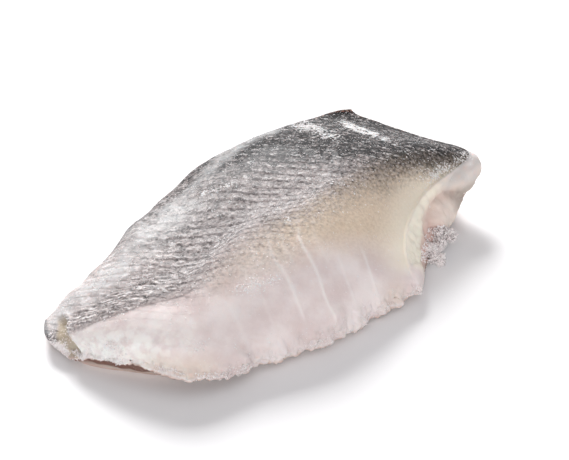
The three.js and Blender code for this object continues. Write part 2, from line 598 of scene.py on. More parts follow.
@dataclass
class ScaledSkin(Feature):
    """Skin with overlapping scales, grey on the back and fading through beige to the bare belly.

    Lines along the body hold values that are evenly spaced from tail to head. A patch holds the ends
    of its rise in v and then in u.
    """

    pitch_along: float = 4.2
    pitch_across: float = 4.8
    tail_share: float = 0.85
    lattice_steps: int = 400
    height: float = 0.14
    lap_rise: Share = (0.24, 0.3)
    lap_side: float = 0.6
    lap_slope: Share = (0.5, 0.8)
    faint_share: float = 0.35
    crust_height: float = 0.09
    crust_size: float = 2.4
    wanders: tuple = ((0.9, 12.0), (0.5, 4.2))
    uneven: Share = (0.025, 9.0)
    grey_line: tuple = (0.33, 0.36, 0.37, 0.375, 0.35, 0.36, 0.42, 0.46, 0.5)
    grey_fade: tuple = (0.05, 0.04, 0.03, 0.09, 0.15, 0.18, 0.17, 0.14, 0.1)
    scaled_margin: Share = (0.06, 0.03)
    beige_line: tuple = (0.3, 0.3, 0.3, 0.3, 0.27, 0.27, 0.25, 0.2, 0.17)
    beige_fade: float = 0.09
    beige_ends: Share = (0.36, 0.64)
    pale_above_line: float = 0.1
    pale_reach: float = 0.22
    pale_ends: Share = (0.62, 0.4)
    crease_half: float = 0.007
    crease_ends: tuple = (0.08, 0.14, 0.36, 0.44)
    streak_ends: Share = (0.5, 0.22)
    outline_ends: Share = (0.5, 0.36)
    outline_from: Share = (0.25, 0.5)
    rolled_back: tuple = (0.7, 0.85, 0.955, 0.98)
    rolled_tail: tuple = (0.5, 0.75, 0.01, 0.003)
    dark_line: tuple = (0.56, 0.6, 0.66, 0.62, 0.575, 0.555, 0.575, 0.56, 0.47)
    tail_pale: float = 0.38
    tail_pale_from: tuple = (0.5, 0.68, 0.38, 0.2)
    back_dark: float = 0.08
    back_from: tuple = (0.55, 0.72, 0.3, 0.5)
    plain_from: tuple = (0.9, 0.62, 0.8, 0.58)
    band_line: tuple = (0.95, 0.95, 0.95, 0.95, 0.93, 0.86, 0.74, 0.65, 0.62)
    band_dark: tuple = (0.0, 0.0, 0.0, 0.05, 0.15, 0.31, 0.62, 0.74, 0.68)
    band_half: Share = (0.17, 0.5)
    step_height: float = 0.22
    step_ends: Share = (0.36, 0.24)

    def lattice(self, at: Surface) -> tuple[Array, Array]:
        """Numbers the scales along their two slanted rows.

        Args:
            at: The surface.

        Returns:
            Two counts for each point. Whole numbers of both meet at a scale's tail end.
        """
        x = at.points[:, 0]
        run = np.linspace(x.min(), x.max(), self.lattice_steps)
        growth = lerp(self.tail_share, 1.0, smoothstep(run, run[0], 0.0))
        lengths = np.full(self.lattice_steps, run[1] - run[0])
        counts = np.cumsum(lengths / (self.pitch_along * growth))
        drift = sum(reach * at.lumps(size) for reach, size in self.wanders)
        aside = sum(reach * at.lumps(size, shift=90.0) for reach, size in self.wanders)
        along = np.interp(x, run, counts) + drift / self.pitch_along
        across = (at.across + aside) / (self.pitch_across * np.interp(x, run, growth))
        return along + across, along - across

    def relief(self, at: Surface) -> Array:
        """Raises each scale towards its tail end, and the skin's edge above the belly.

        Args:
            at: The surface.

        Returns:
            How far each point is raised, in millimetres.
        """
        a, b = (count % 1.0 for count in self.lattice(at))
        drop, bend = self.lap_slope
        lap = smoothstep(a, 0.0, self.lap_rise[0])
        lap = lap * lerp(self.lap_side, 1.0, smoothstep(b, 0.0, self.lap_rise[1]))
        lap = lap * (1.0 - drop * (a + b)) ** bend
        masks = self.masks(at)
        step = masks["grey"] * self.step_height * smoothstep(at.u, *self.step_ends)
        crust = self.crust_height * at.rough(self.crust_size, shift=21.0)
        shown = lerp(self.faint_share, 1.0, masks["plain"])
        return (self.height * lap * shown + crust) * masks["scaled"] + step

    def masks(self, at: Surface) -> dict[str, Array]:
        """Marks the grey and the beige skin, its scales, streaks, the crease that the finish paints as
        painted shade, the outline, and its darkness.

        Args:
            at: The surface.

        Returns:
            The masks by name, from 0 to 1 at each point.
        """
        uneven = self.uneven[0] * at.rough(self.uneven[1], shift=15.0)
        line, fade = Spline(self.grey_line).at(at.u), Spline(self.grey_fade).at(at.u)
        height, skin = at.v + uneven, at.on_skin()
        over = height - line
        over_beige = height - Spline(self.beige_line).at(at.u)
        beige = smoothstep(over_beige / self.beige_fade, -1.0, 1.0)
        beige *= smoothstep(at.u + 2.0 * uneven, *self.beige_ends) * skin
        below, softer = self.scaled_margin
        scaled = smoothstep((over + below) / (fade + softer), -1.0, 1.0) * skin
        crease_shade = np.exp(-((over / self.crease_half) ** 2)) * band(at.u, self.crease_ends)
        return {
            "grey": smoothstep(over / fade, -1.0, 1.0) * skin,
            "beige": beige,
            "scaled": scaled,
            "dark": self._darkness(at, uneven, over),
            "plain": at.patch(self.plain_from) * scaled,
            "crease_shade": crease_shade * skin,
            "streaky": smoothstep(at.u, *self.streak_ends) * scaled,
            "outline": self._outline(at) * skin,
        }

    def _darkness(self, at: Surface, uneven: Array, over: Array) -> Array:
        """Says how dark the skin is.

        Args:
            at: The surface.
            uneven: How far the skin's bands wander, in v.
            over: How far each point is above the line where the grey starts, in v.

        Returns:
            The darkness, from 0 to 1.
        """
        above = at.v + 2.0 * uneven - Spline(self.band_line).at(at.u)
        in_band = np.exp(-((above / np.where(above < 0.0, *self.band_half)) ** 2))
        dark = Spline(self.dark_line).at(at.u) + Spline(self.band_dark).at(at.u) * in_band
        dark += self.back_dark * at.patch(self.back_from)
        dark -= self.tail_pale * at.patch(self.tail_pale_from)
        near_line = smoothstep(over, self.pale_reach, 0.0) * smoothstep(at.u, *self.pale_ends)
        return np.clip(dark - self.pale_above_line * near_line, 0.0, 1.0)

    def _outline(self, at: Surface) -> Array:
        """Marks the dark line where the skin rolls over the back edge and the tail.

        Args:
            at: The surface.

        Returns:
            The share of the line at each point.
        """
        back, tail = self.rolled_back, self.rolled_tail
        rolled = np.max([
            (at.v == 1.0) * smoothstep(at.w, *back[:2]),
            (at.w == 1.0) * smoothstep(at.v, *back[2:]),
            (at.u == 0.0) * smoothstep(at.w, *tail[:2]),
            (at.w == 1.0) * smoothstep(at.u, *tail[2:]),
        ], axis=0)
        return rolled * smoothstep(at.u, *self.outline_ends) * smoothstep(at.v, *self.outline_from)


@dataclass
class MuscleLines(Feature):
    """Pale lines where the belly's muscle blocks meet, slanting up towards the tail.

    Each is its place u at the belly, its strength, and the v at which it starts and ends.
    """

    lines: tuple = (
        (0.46, 0.25, 0.03, 0.24),
        (0.54, 0.3, 0.05, 0.27),
        (0.58, 0.35, 0.2, 0.38),
        (0.623, 0.85, 0.05, 0.38),
        (0.66, 0.4, 0.22, 0.4),
        (0.703, 1.0, 0.01, 0.36),
        (0.745, 0.25, 0.2, 0.36),
        (0.785, 0.45, 0.03, 0.2),
        (0.865, 0.7, 0.02, 0.2),
    )
    slant: float = 0.042
    slant_from: Share = (0.14, 0.36)
    start_fade: Share = (-0.02, 0.03)
    end_fade: Share = (0.03, -0.05)
    wobble: Share = (0.004, 8.0)
    half_width: float = 0.0045
    height: float = 0.16

    def relief(self, at: Surface) -> Array:
        """Raises each line as a low ridge."""
        return self.height * self.masks(at)["line"]

    def masks(self, at: Surface) -> dict[str, Array]:
        """Marks the lines.

        Args:
            at: The surface.

        Returns:
            The masks by name, from 0 to 1 at each point.
        """
        total = np.zeros(len(at.u))
        wobble = self.wobble[0] * at.rough(self.wobble[1], shift=60.0)
        for place, strength, start, end in self.lines:
            middle = place - self.slant * smoothstep(at.v, *self.slant_from) + wobble
            beside = np.exp(-(((at.u - middle) / self.half_width) ** 2))
            shown = smoothstep(at.v, *(start + fade for fade in self.start_fade))
            shown = shown * smoothstep(at.v, *(end + fade for fade in self.end_fade))
            total = np.maximum(total, strength * beside * shown)
        return {"line": total * at.on_skin()}


@dataclass
class FrostPatches(Feature):
    """Streaks and patches of rime on the skin.

    Each is the u and v of both its ends, its half width in millimetres and its strength.
    """

    streaks: tuple = (
        ((0.475, 0.792), (0.527, 0.743), 1.5, 1.0),
        ((0.612, 0.43), (0.624, 0.41), 1.0, 1.0),
        ((0.625, 0.603), (0.745, 0.475), 0.9, 0.6),
        ((0.858, 0.922), (0.805, 0.77), 3.5, 1.2),
        ((0.91, 0.868), (0.865, 0.657), 3.4, 1.2),
        ((0.957, 0.473), (0.975, 0.505), 1.6, 1.0),
        ((0.985, 0.5), (0.99, 0.57), 1.3, 0.9),
        ((0.5, 0.215), (0.58, 0.205), 1.6, 0.85),
        ((0.33, 0.113), (0.367, 0.115), 1.6, 0.5),
        ((0.095, 0.113), (0.175, 0.13), 2.6, 0.5),
    )
    height: float = 0.16
    grain: float = 1.3
    grain_heights: Share = (0.6, 0.8)
    ragged: tuple = ((0.55, 5.0), (0.55, 1.8))
    fade: Share = (1.8, -0.3)

    def relief(self, at: Surface) -> Array:
        """Raises the rime as a grainy crust.

        Args:
            at: The surface.

        Returns:
            How far each point is raised, in millimetres.
        """
        mean, swing = self.grain_heights
        grains = mean + swing * at.lumps(self.grain, shift=25.0)
        return self.height * self.masks(at)["rime"] * grains

    def masks(self, at: Surface) -> dict[str, Array]:
        """Marks the rime.

        Args:
            at: The surface.

        Returns:
            The masks by name, from 0 to 1 at each point.
        """
        total = np.zeros(len(at.u))
        ragged = sum(reach * at.lumps(size, shift=33.0) for reach, size in self.ragged)
        for start, end, half, strength in self.streaks:
            away = at.beside(start, end) / half
            total = np.maximum(total, strength * smoothstep(away + ragged, *self.fade))
        return {"rime": total * at.on_skin()}


@dataclass
class GlazeAndSheen(Feature):
    """A milky film of ice along the back and the tail, which the finish paints pale both as ice and as
    a painted sheen where the back edge catches the light.

    Each stretch is the u and v of both its ends, its half width in millimetres and its strength.
    """

    films: tuple = (
        ((0.24, 0.78), (0.43, 0.84), 6.0, 0.6),
        ((0.43, 0.86), (0.64, 0.93), 3.0, 0.45),
        ((0.05, 0.76), (0.24, 0.77), 5.4, 0.75),
        ((0.64, 0.95), (0.79, 0.95), 3.0, 0.6),
    )
    uneven: Share = (0.5, 4.0)
    fade: Share = (1.5, 0.1)

    def masks(self, at: Surface) -> dict[str, Array]:
        """Marks the film, and the painted sheen that goes with it.

        Args:
            at: The surface.

        Returns:
            The masks by name, from 0 to 1 at each point.
        """
        total = np.zeros(len(at.u))
        uneven = self.uneven[0] * at.rough(self.uneven[1], shift=57.0)
        for start, end, half, strength in self.films:
            away = at.beside(start, end) / half
            total = np.maximum(total, strength * smoothstep(away + uneven, *self.fade))
        return {"glaze_and_sheen": total * at.on_skin()}


@dataclass
class TailFold(Feature):
    """The folded tail end: a rolled lip of skin, a groove of bare flesh and a sharp lip behind it.

    Lines across the body hold values that are evenly spaced from belly to back.
    """

    groove: tuple = (0.026, 0.036, 0.046, 0.052, 0.055)
    groove_half: tuple = (0.027, 0.024, 0.016, 0.009, 0.006)
    groove_depth: float = 0.9
    sunk_fade: Share = (1.3, 0.3)
    bare_fade: Share = (1.25, 0.6)
    lip_height: float = 0.6
    lip_half: float = 0.006
    lip_rime: float = 0.6
    wobble: Share = (0.003, 4.0)
    reach: tuple = (-0.1, 0.0, 0.6, 0.75)

    def _across(self, at: Surface) -> tuple[Array, Array, Array]:
        """Measures the fold.

        Args:
            at: The surface.

        Returns:
            How far each point is from the groove's middle, in half widths of the groove, how far it
            is behind the middle of the sharp lip, in half widths of the lip, and how much of the fold
            shows.
        """
        half = Spline(self.groove_half).at(at.v)
        wobble = self.wobble[0] * at.rough(self.wobble[1], shift=44.0)
        behind = at.u - Spline(self.groove).at(at.v) + wobble
        from_lip = (behind - half - self.lip_half) / self.lip_half
        return behind / half, from_lip, band(at.v, self.reach) * at.on_skin()

    def relief(self, at: Surface) -> Array:
        """Sinks the groove and raises the sharp lip.

        Args:
            at: The surface.

        Returns:
            How far each point is raised, in millimetres.
        """
        aside, from_lip, shown = self._across(at)
        sunk = self.groove_depth * smoothstep(np.abs(aside), *self.sunk_fade)
        return (self.lip_height * np.exp(-(from_lip**2)) - sunk) * shown

    def masks(self, at: Surface) -> dict[str, Array]:
        """Marks the groove, and the sharp lip as rime.

        Args:
            at: The surface.

        Returns:
            The masks by name, from 0 to 1 at each point.
        """
        aside, from_lip, shown = self._across(at)
        groove = smoothstep(np.abs(aside), *self.bare_fade) * shown
        return {"groove": groove, "rime": self.lip_rime * np.exp(-(from_lip**2)) * shown}


@dataclass
class HeadCut(Feature):
    """The slanted cut at the head end: a cream rim of fat, lobes of flesh and the blood line.

    A band holds where it starts, where it is full, where it starts to fade and where it ends.
    """

    form: FilletForm
    rim_from: Share = (0.15, 0.62)
    rim_fade: float = 0.3
    rim_reach: Share = (0.88, 1.0)
    rim_ends: tuple = (0.04, 0.12, 0.42, 0.54)
    rim_height: float = 0.5
    blood: tuple = (0.12, 0.22, 0.33, 0.4)
    blood_height: tuple = (-0.1, 0.0, 0.3, 0.5)
    blood_depth: float = 0.3
    clear: tuple = (0.44, 0.5, 0.66, 0.76)
    clear_height: tuple = (0.2, 0.38, 0.62, 0.85)
    flap: tuple = (0.49, 0.52, 0.6, 0.64)
    flap_height: Share = (0.37, 0.04)
    flap_reach: float = 1.0
    flap_rime: float = 0.6
    full_swell: float = 3.0
    plain_lobe: float = 0.15
    fibre: float = 2.2
    fibre_height: float = 0.5
    grit: float = 1.2
    grit_height: float = 0.4
    ice_edge: tuple = (0.44, 0.49, 0.66, 0.72)
    ice_edge_height: Share = (0.62, 0.9)
    ice_edge_uneven: Share = (0.1, 2.0)
    ice_edge_glaze: float = 0.75
    fringe: tuple = (0.5, 0.56, 0.68, 0.72)
    fringe_height: tuple = (0.3, 0.36, 0.5, 0.6)

    def _flap(self, at: Surface) -> Array:
        """Gives 1 along the thin icy flap below the topmost lobe."""
        middle, half = self.flap_height
        return np.exp(-(((at.w - middle) / half) ** 2)) * band(at.v, self.flap) * (at.u == 1.0)

    def _ice_edge(self, at: Surface) -> Array:
        """Gives 1 along the frosted upper edge of the topmost lobe.

        Args:
            at: The surface.

        Returns:
            The share of the edge at each point.
        """
        reach, size = self.ice_edge_uneven
        upper = smoothstep(at.w + reach * at.lumps(size, shift=3.0), *self.ice_edge_height)
        return upper * band(at.v, self.ice_edge) * (at.u == 1.0)

    def relief(self, at: Surface) -> Array:
        """Raises the rim, the flap, the fibres and their grit, and sinks the blood line.

        Args:
            at: The surface.

        Returns:
            How far each point is raised, in millimetres.
        """
        masks = self.masks(at)
        fibres = self.fibre_height * at.rough(self.fibre, shift=70.0)
        fibres += self.grit_height * at.rough(self.grit, shift=52.0)
        raised = self.rim_height * masks["fat"] + self.flap_reach * self._flap(at)
        return raised + fibres * masks["cut"] * (at.u == 1.0) - self.blood_depth * masks["blood"]

    def masks(self, at: Surface) -> dict[str, Array]:
        """Marks the cut flesh with its lobes, fat, blood line and clear part, and the ice on it.

        Args:
            at: The surface.

        Returns:
            The masks by name, from 0 to 1 at each point.
        """
        on_cut = at.u == 1.0
        swell = np.clip(self.form.head_swell(at.u, at.v, at.w) / self.full_swell, 0.0, 1.0)
        rim = lerp(*self.rim_from, smoothstep(at.v, self.rim_ends[1], self.rim_ends[2]))
        along_rim = band(at.v, self.rim_ends)
        return {
            "cut": at.on_wall(),
            # The lobes' swelling, which the finish paints lighter on the swells and darker between
            # them, as painted shade.
            "lobe": np.where(on_cut, swell, self.plain_lobe),
            "fat": smoothstep(at.w - rim, 0.0, self.rim_fade) * along_rim * on_cut,
            "cream": smoothstep(at.u, *self.rim_reach) * along_rim * (at.w == 1.0),
            "blood": band(at.v, self.blood) * band(at.w, self.blood_height) * on_cut,
            "clear": band(at.v, self.clear) * band(at.w, self.clear_height) * on_cut,
            "rime": self.flap_rime * self._flap(at),
            "glaze_and_sheen": self.ice_edge_glaze * self._ice_edge(at),
            "fringe": band(at.v, self.fringe) * band(at.w, self.fringe_height) * on_cut,
        }


@dataclass
class BellyEdge(Feature):
    """The belly's cut edge: ragged, with knobs, hollows tinted beige as clear thin flesh and as painted
    shade, and, towards the tail, a crust of ice.

    A hollow is its two ends in u and how far up it reaches in v. A knob is its u and v, and its
    height and half width in millimetres.
    """

    hollows: tuple = ((0.16, 0.42, 0.05), (0.84, 1.0, 0.05))
    hollow_fade: float = 0.1
    hollow_depth: float = 0.5
    hollow_reach: Share = (2.2, 0.2)
    hollow_uneven: float = 0.02
    hollow_from: Share = (0.3, 0.6)
    icy_ends: Share = (0.42, 0.16)
    icy_reach: Share = (0.4, 0.16)
    icy_uneven: Share = (0.06, 0.05)
    icy_height: float = 0.3
    icy_size: float = 2.2
    uneven_size: float = 6.0
    ragged: tuple = ((1.1, 2.2), (0.6, 0.9))
    reach: float = 0.03
    edge_from: Share = (-0.6, 0.25)
    knobs: tuple = ((0.705, 0.03, 1.0, 2.6), (0.545, 0.0, 0.8, 2.0), (0.43, 0.02, 0.8, 2.4))

    def relief(self, at: Surface) -> Array:
        """Breaks up the edge, raises its knobs and the ice, and sinks the hollows.

        Args:
            at: The surface.

        Returns:
            How far each point is raised, in millimetres.
        """
        near = smoothstep(at.v, self.reach, 0.0) * smoothstep(at.w, *self.edge_from)
        broken = sum(height * at.rough(size, shift=5.0) for height, size in self.ragged)
        masks = self.masks(at)
        ice = self.icy_height * at.rough(self.icy_size, shift=62.0) * masks["icy"]
        raised = broken * near + ice
        for u, v, height, half in self.knobs:
            away = np.linalg.norm(at.points - at.nearest(u, v), axis=1) / half
            raised += height * np.exp(-(away**2))
        return raised - self.hollow_depth * masks["hollow"]

    def masks(self, at: Surface) -> dict[str, Array]:
        """Marks the hollows and the crust of ice.

        Args:
            at: The surface.

        Returns:
            The masks by name, from 0 to 1 at each point.
        """
        total = np.zeros(len(at.u))
        uneven = at.rough(self.uneven_size, shift=81.0)
        for start, end, up in self.hollows:
            along = smoothstep(at.u, start, start + self.hollow_fade)
            along = along * smoothstep(at.u, end, end - self.hollow_fade)
            reach = (share * up for share in self.hollow_reach)
            total = np.maximum(total, along * smoothstep(at.v + self.hollow_uneven * uneven, *reach))
        icy = smoothstep(at.u + self.icy_uneven[0] * uneven, *self.icy_ends)
        icy = icy * smoothstep(at.v + self.icy_uneven[1] * uneven, *self.icy_reach)
        hollow = total * smoothstep(at.w, *self.hollow_from)
        return {"hollow": hollow, "icy": icy * at.on_skin()}


@dataclass
class Underside(Feature):
    """The flesh side: shallow seams between flakes of muscle, bent at the middle line."""

    flake: float = 5.2
    bend: float = 0.75
    depth: float = 0.45
    middle: float = -2.0
    wander: Share = (1.4, 11.0)
    seam_half: Share = (0.13, 0.02)
    under_from: Share = (0.12, 0.0)
    raised_from: Share = (0.4, 2.6)
    raised_height: float = 0.5
    raised_size: float = 2.4

    def relief(self, at: Surface) -> Array:
        """Sinks the seams into the flesh, and roughens its raised rim.

        Args:
            at: The surface.

        Returns:
            How far each point is raised, in millimetres.
        """
        masks = self.masks(at)
        rough = self.raised_height * at.rough(self.raised_size, shift=17.0)
        return rough * masks["raised"] - self.depth * masks["seam"]

    def masks(self, at: Surface) -> dict[str, Array]:
        """Marks the seams, and where the underside is raised, which the finish paints dark brown as
        painted shade of the gap under the lifted flap.

        Args:
            at: The surface.

        Returns:
            The masks by name, from 0 to 1 at each point.
        """
        x, y, z = at.points.T
        wander = self.wander[0] * at.lumps(self.wander[1], shift=50.0)
        step = ((x - self.bend * np.abs(y - self.middle) + wander) / self.flake) % 1.0
        seam = smoothstep(np.minimum(step, 1.0 - step), *self.seam_half)
        under = smoothstep(at.w, *self.under_from)
        raised = smoothstep(z, *self.raised_from) * under
        return {"seam": seam * under * (1.0 - raised), "raised": raised}


def new_piece(name: str, points: Array, faces: Sequence[Sequence[int]]) -> bpy.types.Object:
    """Makes a smooth mesh object.

    Args:
        name: What the piece is called.
        points: Its points in millimetres.
        faces: The numbers of each face's corners.

    Returns:
        The object, in the scene.
    """
    mesh = bpy.data.meshes.new(name)
    mesh.from_pydata((points * MM).tolist(), [], faces)
    mesh.shade_smooth()
    piece = bpy.data.objects.new(name, mesh)
    bpy.context.scene.collection.objects.link(piece)
    return piece


@dataclass
class Fillet:
    """The fillet's flesh and skin, one closed mesh on the form of its solid."""

    name: str = "fillet_flesh_and_skin"
    form: FilletForm = field(default_factory=FilletForm)
    grid: BoxGrid = field(default_factory=BoxGrid)
    skin: ScaledSkin = field(default_factory=ScaledSkin)
    seed: int = 11
    bake_places: dict = field(default_factory=lambda: {
        Face.SKIN: (0.005, 0.005, 0.99, 0.54),
        Face.UNDERSIDE: (0.005, 0.555, 0.49, 0.44),
        Face.BELLY: (0.505, 0.555, 0.49, 0.1),
        Face.BACK: (0.505, 0.665, 0.49, 0.13),
        Face.TAIL: (0.505, 0.805, 0.24, 0.19),
        Face.HEAD: (0.755, 0.805, 0.24, 0.19),
    })

    def features(self) -> list[Feature]:
        """Lists what shows on the fillet.

        Returns:
            The features, in the order in which they are laid on.
        """
        return [
            Undulation(), BackRim(), self.skin, MuscleLines(), FrostPatches(), GlazeAndSheen(),
            TailFold(), HeadCut(self.form), BellyEdge(), Underside(),
        ]

    def build(self) -> bpy.types.Object:
        """Builds the mesh with its relief, masks and texture maps.

        Returns:
            The new piece.
        """
        faces = list(self.grid.faces())
        cells = [cell for _, sheet in faces for cell in sheet]
        points = self._fitted(self.form.place(self.grid.u, self.grid.v, self.grid.w))
        piece = new_piece(self.name, points, cells)
        self.surface = self._surface(piece.data, points)
        raised = sum(feature.relief(self.surface) for feature in self.features())
        self.points = points + raised[:, None] * self.surface.normals
        self.points[:, 2] = np.maximum(self.points[:, 2], 0.0)
        piece.data.vertices.foreach_set("co", (self.points * MM).ravel())
        piece.data.update()
        self.masks = self._masks()
        for name, values in self.masks.items():
            piece.data.attributes.new(name, "FLOAT", "POINT").data.foreach_set("value", values)
        self._map_scales(piece.data)
        self._map_bake(piece.data, faces)
        return piece

    def dress(self, piece: bpy.types.Object, material: bpy.types.Material) -> None:
        """Gives the piece its finish and lets it stand for the solid.

        Args:
            piece: The piece.
            material: Its finish.
        """
        piece.data.materials.append(material)
        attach(piece, BODY)
        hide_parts(NODE)

    def _fitted(self, points: Array) -> Array:
        """Sets the form into the solid's box.

        Args:
            points: The form's points, in millimetres.

        Returns:
            The points in the solid's box.
        """
        low, high = (np.array(corner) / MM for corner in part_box(NODE))
        own_low, own_high = points.min(axis=0), points.max(axis=0)
        return low + (points - own_low) * (high - low) / (own_high - own_low)

    def _surface(self, mesh: bpy.types.Mesh, points: Array) -> Surface:
        """Measures the bare form.

        Args:
            mesh: The bare form's mesh.
            points: Its points in millimetres.

        Returns:
            The surface that features are laid on.
        """
        grid = self.grid
        normals = np.empty(len(points) * 3)
        mesh.vertices.foreach_get("normal", normals)
        sheet = points[grid.index[:, :, -1]]
        steps = np.diff(sheet, axis=1, prepend=sheet[:, :1])
        arc = np.cumsum(np.linalg.norm(steps, axis=2), axis=1)
        ridge = round(self.form.ridge_place * grid.across)
        arc -= arc[:, ridge : ridge + 1]
        across = arc[grid.steps[:, 0], grid.steps[:, 1]]
        noise = SmoothNoise(self.seed)
        return Surface(grid.u, grid.v, grid.w, points, normals.reshape(-1, 3), across, noise)

    def _masks(self) -> dict[str, Array]:
        """Gathers the features' masks, the strongest where two meet.

        Returns:
            The masks by name, one value for each point.
        """
        masks: dict[str, Array] = {}
        for feature in self.features():
            for name, values in feature.masks(self.surface).items():
                masks[name] = np.maximum(masks.get(name, 0.0), values)
        return masks

    def _map_scales(self, mesh: bpy.types.Mesh) -> None:
        """Lays the scales' counts out as a texture map.

        Args:
            mesh: The fillet's mesh.
        """
        corners = np.empty(len(mesh.loops), int)
        mesh.loops.foreach_get("vertex_index", corners)
        counts = np.stack(self.skin.lattice(self.surface), axis=1)[corners]
        mesh.uv_layers.new(name="scales").data.foreach_set("uv", counts.ravel())

    def _map_bake(self, mesh: bpy.types.Mesh, faces: list[tuple[Face, list[list[int]]]]) -> None:
        """Lays the box's faces out side by side, without overlap.

        Args:
            mesh: The fillet's mesh.
            faces: The box's faces with their cells, in the mesh's order.
        """
        grid = self.grid
        flat = {
            Face.SKIN: (grid.u, grid.v),
            Face.UNDERSIDE: (grid.u, grid.v),
            Face.BELLY: (grid.u, grid.w),
            Face.BACK: (grid.u, grid.w),
            Face.TAIL: (grid.v, grid.w),
            Face.HEAD: (grid.v, grid.w),
        }
        places = []
        for face, sheet in faces:
            corners = np.fromiter(itertools.chain.from_iterable(sheet), int)
            left, foot, width, height = self.bake_places[face]
            right, up = flat[face]
            place = (left + width * right[corners], foot + height * up[corners])
            places.append(np.stack(place, axis=1))
        mesh.uv_layers.new(name="OFBake").data.foreach_set("uv", np.concatenate(places).ravel())


class Crystal(Enum):
    """Shapes of ice grains."""

    FLAKE = "flake"
    CRUMB = "crumb"

    def mesh(self) -> tuple[Array, Array]:
        """Gives the shape as points and faces.

        Returns:
            The points, about 1 from the middle, and the three corners of each face.
        """
        if self is Crystal.FLAKE:
            points = [(1, 0, 0), (0, 1, 0), (-1, 0, 0), (0, -1, 0), (0, 0, 1), (0, 0, -1)]
            upper = [(i, (i + 1) % 4, 4) for i in range(4)]
            lower = [((i + 1) % 4, i, 5) for i in range(4)]
            return np.array(points, float), np.array(upper + lower)
        golden = (1.0 + math.sqrt(5.0)) / 2.0
        pairs = itertools.product((-1.0, 1.0), (-golden, golden))
        turned = (((0.0, a, b), (a, b, 0.0), (b, 0.0, a)) for a, b in pairs)
        points = np.array(list(itertools.chain.from_iterable(turned)))
        longest_edge = 2.1
        near = np.linalg.norm(points[:, None] - points[None], axis=2) < longest_edge
        faces = []
        for i, j, k in itertools.combinations(range(12), 3):
            if near[i, j] and near[j, k] and near[i, k]:
                out = np.dot(np.cross(points[j] - points[i], points[k] - points[i]), points[i])
                faces.append((i, j, k) if out > 0.0 else (i, k, j))
        return points / math.sqrt(1.0 + golden**2), np.array(faces)


@dataclass
class IceGrains:
    """Grains of ice on the fillet, all one piece. Sizes are in millimetres.

    Spread is how far grains stray from their places, and the higher smallness is, the more are small.
    """

    name: str
    count: int
    smallest: float
    largest: float
    kind: Crystal
    flatness: float = 1.0
    sunk: float = 0.2
    spread: float = 0.3
    roughness: float = 0.25
    seed: int = 1
    slimmest: float = 0.65
    smallness: float = 1.6
    above_table: float = 0.02

    def build(self, points: Array, normals: Array, chance: Array) -> bpy.types.Object:
        """Strews the grains over points.

        Args:
            points: Where grains may lie.
            normals: Which way is out at each point.
            chance: How likely each point is.

        Returns:
            The new piece.
        """
        rng = np.random.default_rng(self.seed)
        picked = rng.choice(len(points), self.count, p=chance / chance.sum())
        share = rng.random(self.count) ** self.smallness
        size = self.smallest * (self.largest / self.smallest) ** share
        up = normals[picked]
        side = np.cross(up, rng.normal(size=up.shape))
        side /= np.linalg.norm(side, axis=1, keepdims=True)
        turn = np.stack([side, np.cross(up, side), up], axis=2)
        shape, faces = self.kind.mesh()
        squash = (1.0, 1.0, self.flatness)
        grains = shape * squash * rng.uniform(self.slimmest, 1.0, (self.count, 1, 3))
        grains = grains + rng.normal(0.0, self.roughness, (self.count, len(shape), 3)) * squash
        grains = np.einsum("nij,nkj->nki", turn, grains) * size[:, None, None] / 2.0
        strayed = rng.normal(size=(self.count, 2)) * self.spread
        aside = strayed[:, :, None] * np.stack([side, turn[:, :, 1]], axis=1)
        lifted = size * self.flatness * (0.5 - self.sunk)
        middle = points[picked] + aside.sum(axis=1) + up * lifted[:, None]
        grains += middle[:, None]
        grains[..., 2] = np.maximum(grains[..., 2], self.above_table)
        numbers = faces[None] + np.arange(self.count)[:, None, None] * len(shape)
        return new_piece(self.name, grains.reshape(-1, 3), numbers.reshape(-1, 3).tolist())

    def dress(self, piece: bpy.types.Object, material: bpy.types.Material) -> None:
        """Gives the grains their finish.

        Args:
            piece: The piece.
            material: Its finish.
        """
        piece.data.materials.append(material)
        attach(piece, BODY)


